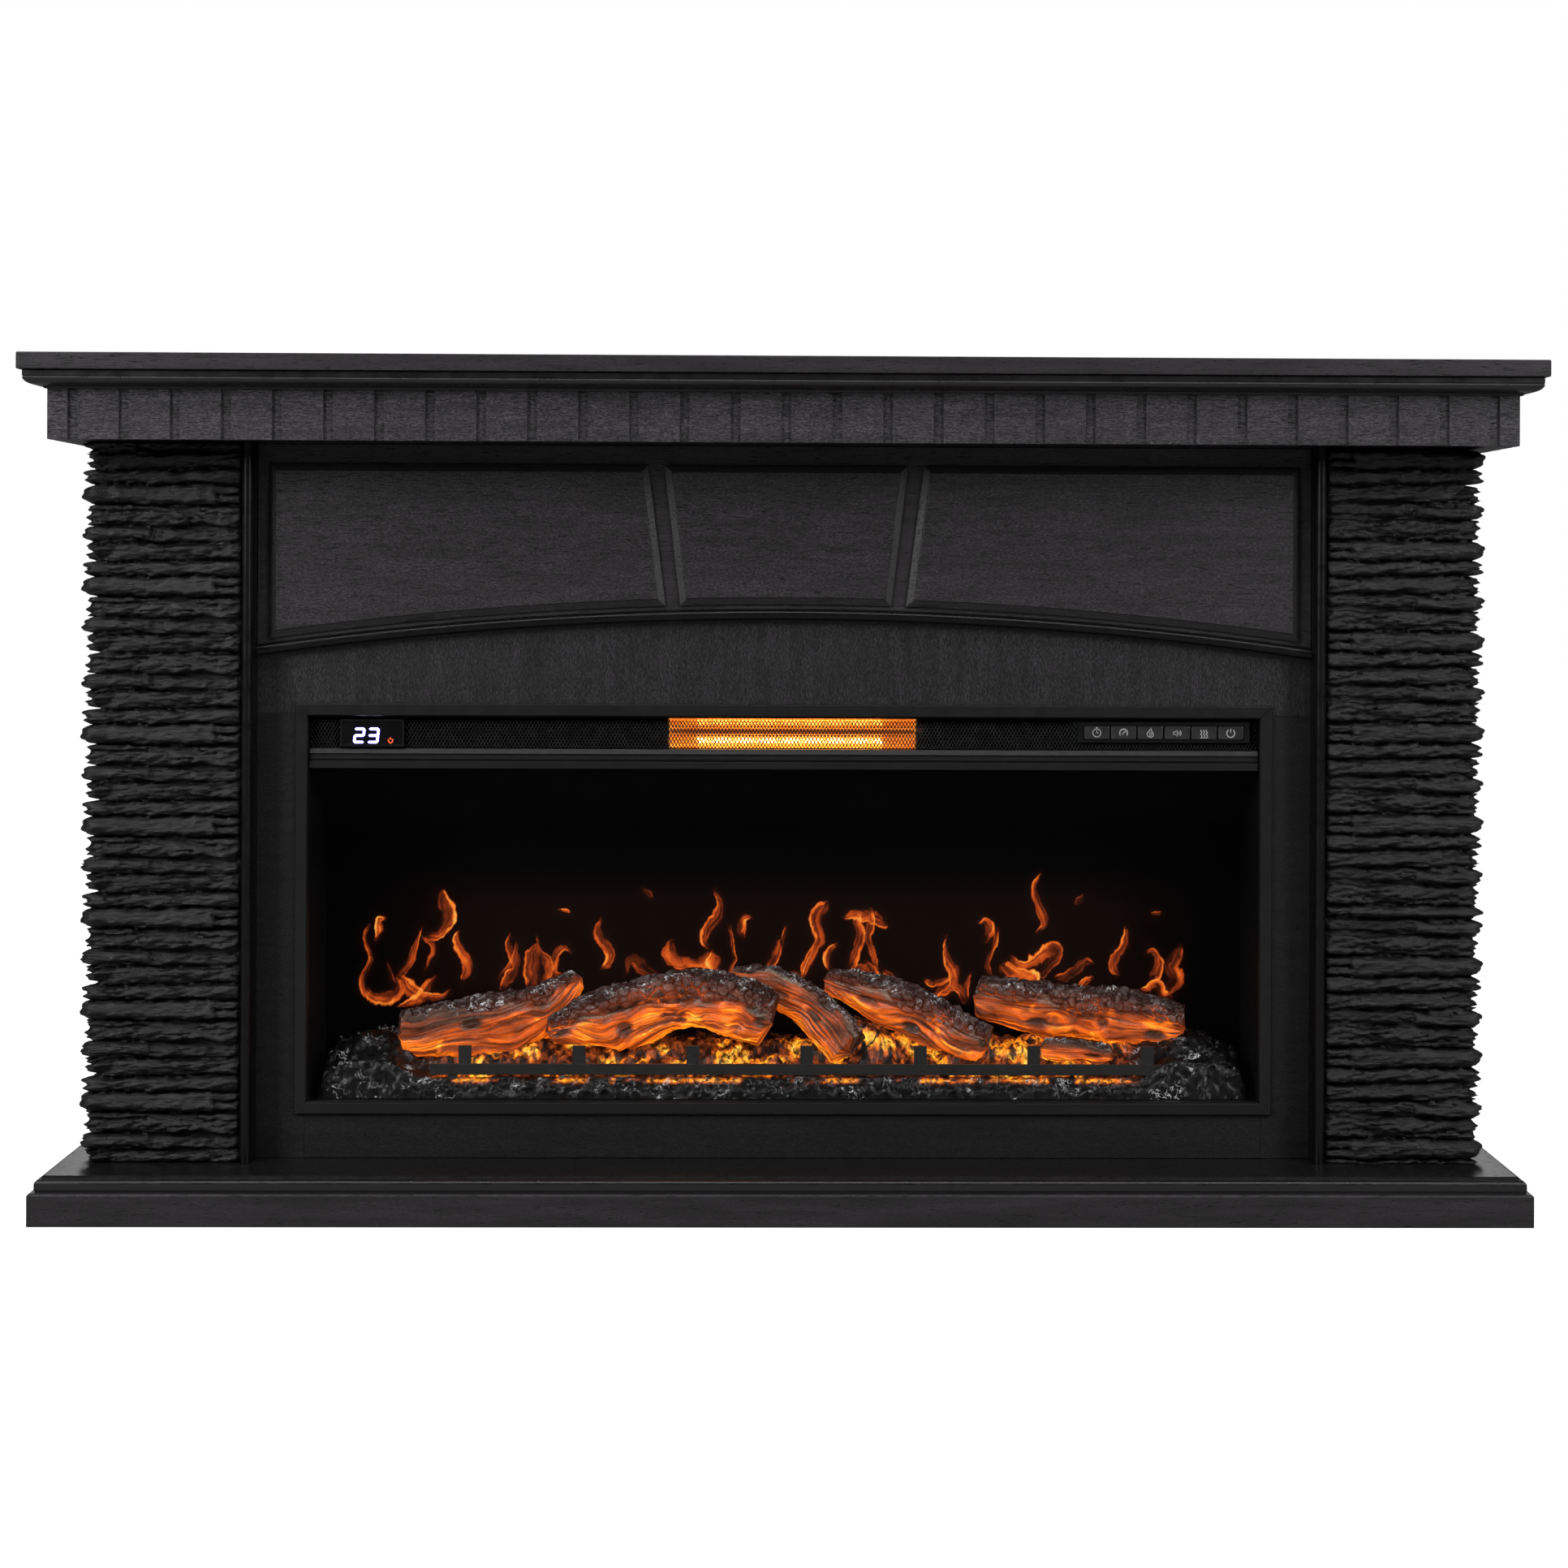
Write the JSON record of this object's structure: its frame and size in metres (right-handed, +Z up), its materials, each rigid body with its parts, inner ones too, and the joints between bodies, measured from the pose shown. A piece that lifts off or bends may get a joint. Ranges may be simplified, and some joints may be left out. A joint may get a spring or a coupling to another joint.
{
  "type": "electric fireplace",
  "caption": "Wide free-standing mantel surround with ledge-stone pillars and an arched front, round an electric insert with log flame effect, infrared heater grille, display and touch keys.",
  "frame": {"origin": "on the floor, under the middle of the mantel shelf's length and depth", "axes": "+X to the right of someone facing the fire, along the mantel; +Y from the front to the wall; +Z up"},
  "size_m": [1.625, 0.39, 0.923],
  "materials": {
    "veneer_black": "black-stained open-pore ash veneer under satin lacquer",
    "lacquer_black": "satin black lacquer on moulded fibreboard",
    "fibreboard_raw": "bare fibreboard",
    "ledge_stone": "cast ledge stone under satin black paint",
    "trim_enamel": "satin black enamel",
    "grille_enamel": "heat-proof matt black enamel",
    "case_steel": "fine-textured black powder coat",
    "window_glass": "clear toughened glass",
    "plastic_black": "moulded matt black",
    "display_lens": "smoked gloss window in a black body",
    "key_plastic": "satin black caps with printed white icons",
    "circuit_board": "green solder mask",
    "reflector_bright": "polished sheet",
    "quartz_glow": "clear quartz tube round a glowing coil, ceramic end bases",
    "motor_steel": "zinc-plated",
    "screen_frosted": "smoked screen that the flame light is thrown on",
    "log_resin": "cast bark texture, painted brown and charred black",
    "ember_resin": "glossy black coals, lit orange from below"
  },
  "bodies": {
    "fireplace": {"plinth_box": "veneer_black", "hearth_board": "lacquer_black", "pillar_carcass_left": "fibreboard_raw", "pillar_carcass_right": "fibreboard_raw", "stone_cladding_left": "ledge_stone", "stone_cladding_right": "ledge_stone", "pillar_bead_left": "lacquer_black", "pillar_bead_right": "lacquer_black", "fascia_top_board": "veneer_black", "fascia_stile_left": "veneer_black", "fascia_stile_right": "veneer_black", "fascia_bottom_rail": "veneer_black", "insert_shelf": "fibreboard_raw", "arch_spandrel": "veneer_black", "arch_bead": "lacquer_black", "raised_panel_left": "veneer_black", "raised_panel_centre": "veneer_black", "raised_panel_right": "veneer_black", "frieze": "veneer_black", "mantel_soffit": "lacquer_black", "crown_moulding": "lacquer_black", "mantel_shelf": "veneer_black", "trim_bottom": "trim_enamel", "trim_right": "trim_enamel", "trim_top": "trim_enamel", "trim_left": "trim_enamel", "glass_pane": "window_glass", "divider_rail": "trim_enamel", "heater_grille": "grille_enamel", "case_sleeve": "case_steel", "case_back": "case_steel", "cord_gland": "plastic_black", "heater_deck": "case_steel", "display_module": "display_lens", "key_bezel": "plastic_black", "control_board": "circuit_board", "heater_reflector": "reflector_bright", "quartz_lamp_upper": "quartz_glow", "quartz_lamp_lower": "quartz_glow", "blower_housing": "case_steel", "blower_motor": "motor_steel", "flame_screen": "screen_frosted", "spindle_bearing": "plastic_black", "spindle_motor": "motor_steel", "led_board": "circuit_board", "log_far_left": "log_resin", "log_left": "log_resin", "log_centre": "log_resin", "log_right": "log_resin", "log_far_right": "log_resin", "log_grate": "grille_enamel", "ember_bed": "ember_resin"},
    "timer_key": {"key_timer": "key_plastic"},
    "brightness_key": {"key_brightness": "key_plastic"},
    "flame_key": {"key_flame": "key_plastic"},
    "sound_key": {"key_sound": "key_plastic"},
    "heat_key": {"key_heat": "key_plastic"},
    "power_key": {"key_power": "key_plastic"},
    "impeller": {"blower_impeller": "plastic_black"},
    "spindle": {"flame_spindle": "reflector_bright"}
  },
  "joints": [
    {"name": "timer_key_press", "type": "slide", "parent": "fireplace", "child": "timer_key", "axis": [0, 1, 0], "range_m": [0, 0.0012], "stiffness_N_per_m": 250},
    {"name": "brightness_key_press", "type": "slide", "parent": "fireplace", "child": "brightness_key", "axis": [0, 1, 0], "range_m": [0, 0.0012], "stiffness_N_per_m": 250},
    {"name": "flame_key_press", "type": "slide", "parent": "fireplace", "child": "flame_key", "axis": [0, 1, 0], "range_m": [0, 0.0012], "stiffness_N_per_m": 250},
    {"name": "sound_key_press", "type": "slide", "parent": "fireplace", "child": "sound_key", "axis": [0, 1, 0], "range_m": [0, 0.0012], "stiffness_N_per_m": 250},
    {"name": "heat_key_press", "type": "slide", "parent": "fireplace", "child": "heat_key", "axis": [0, 1, 0], "range_m": [0, 0.0012], "stiffness_N_per_m": 250},
    {"name": "power_key_press", "type": "slide", "parent": "fireplace", "child": "power_key", "axis": [0, 1, 0], "range_m": [0, 0.0012], "stiffness_N_per_m": 250},
    {"name": "impeller_spin", "type": "hinge", "parent": "fireplace", "child": "impeller", "pos_m": [0.008, 0.042, 0.5175], "axis": [1, 0, 0], "continuous": true},
    {"name": "spindle_spin", "type": "hinge", "parent": "fireplace", "child": "spindle", "pos_m": [0, 0.125, 0.15], "axis": [1, 0, 0], "continuous": true}
  ]
}
